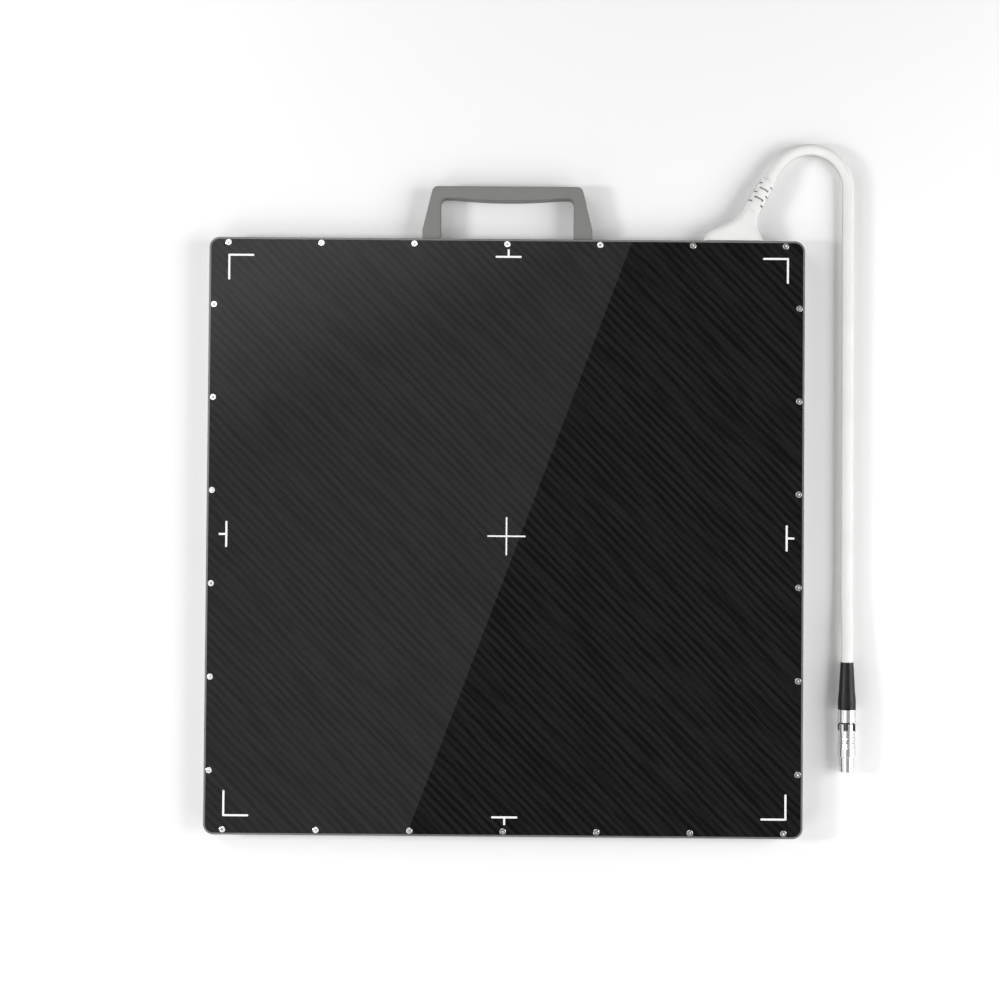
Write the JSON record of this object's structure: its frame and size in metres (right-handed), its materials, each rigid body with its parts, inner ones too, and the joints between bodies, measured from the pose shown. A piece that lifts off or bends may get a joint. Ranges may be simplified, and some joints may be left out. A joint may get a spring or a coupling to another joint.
{
  "type": "flat panel x-ray detector",
  "caption": "Wired flat panel x-ray detector: square carbon-fibre window in a thin metal frame, carrying handle, and a short cable with a push-pull plug.",
  "frame": {"origin": "centre of the housing's back face, on the plane that the detector lies on", "axes": "+Z from the back cover to the entrance window, +Y towards the carrying handle, +X towards the side where the cable lies"},
  "size_m": [0.5023, 0.5378, 0.015],
  "materials": {
    "frame_aluminium": "satin anodised, grey",
    "carbon_window": "twill carbon-fibre laminate under clear gloss coat",
    "mark_paint": "white paint filled into engraved lines",
    "screw_steel": "stainless steel, lightly polished heads",
    "seal_rubber": "black closed-cell seal",
    "cover_aluminium": "grey textured coat on aluminium sheet",
    "handle_grey": "matt grey moulding",
    "boot_white": "white moulded elastomer, satin",
    "cable_jacket": "off-white soft jacket, satin",
    "relief_black": "black moulded rubber, satin",
    "plug_chrome": "bright chrome plate",
    "collet_brass": "bare brass",
    "latch_spring": "spring steel",
    "contact_gold": "gold plate",
    "insulator_plastic": "tan engineering plastic",
    "wire_insulation": "thin wire insulation",
    "foam_grey": "open-cell foam",
    "scintillator_white": "white phosphor sheet",
    "sensor_glass": "thin glass",
    "lead_sheet": "dull lead",
    "support_aluminium": "milled",
    "board_green": "solder mask",
    "standoff_brass": "nickel-plated brass",
    "film_amber": "polyimide film",
    "chip_black": "moulded epoxy",
    "can_tin": "tinned steel",
    "pad_blue": "soft gap pad",
    "connector_ivory": "moulded nylon",
    "ribbon_white": "flat flexible cable"
  },
  "bodies": {
    "detector": {"frame": "frame_aluminium", "front_window": "carbon_window", "window_markings": "mark_paint", "window_gasket": "seal_rubber", "window_screws": "screw_steel", "back_cover": "cover_aluminium", "cover_gasket": "seal_rubber", "cover_screws": "screw_steel", "handle": "handle_grey", "handle_screws": "screw_steel", "cable_boot": "boot_white", "boot_gasket": "seal_rubber", "boot_inserts": "collet_brass", "boot_screws": "screw_steel", "inlet_cable": "cable_jacket", "inlet_wires": "wire_insulation", "cable": "cable_jacket", "plug_bend_relief": "relief_black", "plug_cable_end": "cable_jacket", "plug_collet_nut": "plug_chrome", "plug_collet": "collet_brass", "plug_barrel": "plug_chrome", "plug_latch_ring": "latch_spring", "plug_insulator": "insulator_plastic", "plug_contacts": "contact_gold", "foam_pad": "foam_grey", "scintillator_plate": "scintillator_white", "sensor_glass": "sensor_glass", "shield_plate": "lead_sheet", "support_plate": "support_aluminium", "support_screws": "screw_steel", "main_board": "board_green", "power_board": "board_green", "readout_boards": "board_green", "gate_board": "board_green", "board_standoffs": "standoff_brass", "board_screws": "screw_steel", "readout_films": "film_amber", "readout_chips": "chip_black", "gate_films": "film_amber", "gate_chips": "chip_black", "processor_chips": "chip_black", "power_modules": "chip_black", "shield_can": "can_tin", "thermal_pads": "pad_blue", "board_connectors": "connector_ivory", "ribbon_cables": "ribbon_white"},
    "latch_sleeve": {"plug_latch_sleeve": "plug_chrome"}
  },
  "joints": [
    {"name": "latch_slide", "type": "slide", "parent": "detector", "child": "latch_sleeve", "axis": [0, 1, 0], "range_m": [0, 0.001], "stiffness_N_per_m": 1500, "springref_m": -0.002}
  ]
}
